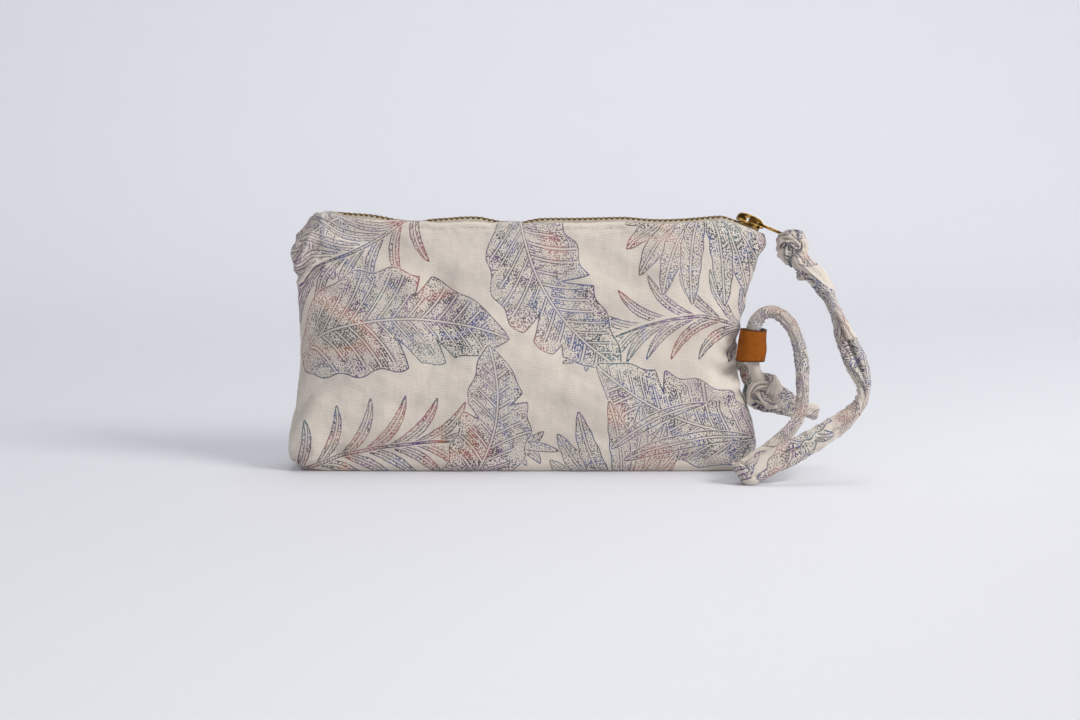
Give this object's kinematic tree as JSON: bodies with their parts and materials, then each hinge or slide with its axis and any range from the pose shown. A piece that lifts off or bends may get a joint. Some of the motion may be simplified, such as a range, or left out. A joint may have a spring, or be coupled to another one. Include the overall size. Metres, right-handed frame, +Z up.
{
  "type": "wrist pouch",
  "caption": "Zipped cloth pouch on a boxed base, with a cloth strap knotted to the zip pull, a side loop, a leather bead and a side knot.",
  "frame": {"origin": "on the table, under the middle of the pouch's flat base", "axes": "+X to the zip's closed end, where the strap hangs, +Y to the back, +Z up"},
  "size_m": [0.2728, 0.0765, 0.1251],
  "materials": {
    "cloth": "soft suede-like cloth with a fine weave and a stippled leaf print",
    "lining": "plain woven lining",
    "tape": "woven zip tape",
    "brass": "antique brass, worn bright on the edges",
    "thread": "spun sewing thread",
    "leather": "tan vegetable-tanned leather, matte, with darker cut edges"
  },
  "bodies": {
    "pouch": {"outer_front_panel": "cloth", "outer_back_panel": "cloth", "lining_front": "lining", "lining_back": "lining", "zip_tape_front": "tape", "zip_tape_back": "tape", "zip_teeth_front": "brass", "zip_teeth_back": "brass", "top_stop_front": "brass", "top_stop_back": "brass", "bottom_stop": "brass", "zip_end_tab": "cloth", "zip_stitching_front": "thread", "zip_stitching_back": "thread", "strap_lower": "cloth", "strap_fold": "cloth", "strap_side_run": "cloth", "side_knot": "cloth", "strap_tail": "cloth", "side_tab": "cloth"},
    "strap": {"strap_middle": "cloth"},
    "slider": {"slider_body": "brass", "slider_crown": "brass", "slider_lock_spring": "brass", "strap_upper": "cloth"},
    "pull": {"pull_tab": "brass", "pull_knot": "cloth"},
    "bead": {"leather_bead": "leather"}
  },
  "joints": [
    {"name": "zip_slide", "type": "slide", "parent": "pouch", "child": "strap", "axis": [-1, 0, 0], "range_m": [0, 0.186], "deforming": ["outer_front_panel", "outer_back_panel", "lining_front", "lining_back", "zip_tape_front", "zip_tape_back", "zip_teeth_front", "zip_teeth_back", "zip_stitching_front", "zip_stitching_back", "top_stop_front", "top_stop_back", "strap_lower"]},
    {"name": "slider_level", "type": "hinge", "parent": "strap", "child": "slider", "pos_m": [0.0931, 0, 0.1199], "axis": [0, -1, 0], "range_deg": [0, 20], "deforming": ["strap_middle"]},
    {"name": "pull_swing", "type": "hinge", "parent": "slider", "child": "pull", "pos_m": [0.11011, 0, 0.1175], "axis": [0, -1, 0], "range_deg": [0, 95], "deforming": ["strap_upper", "pull_knot"]},
    {"name": "bead_slide", "type": "slide", "parent": "pouch", "child": "bead", "axis": [0.0471, 0, 0.9989], "range_m": [0, 0.005], "deforming": ["strap_side_run"]}
  ],
  "couplings": [
    {"joint": "slider_level", "follows": "zip_slide", "rad_per_m": 1.876}
  ]
}
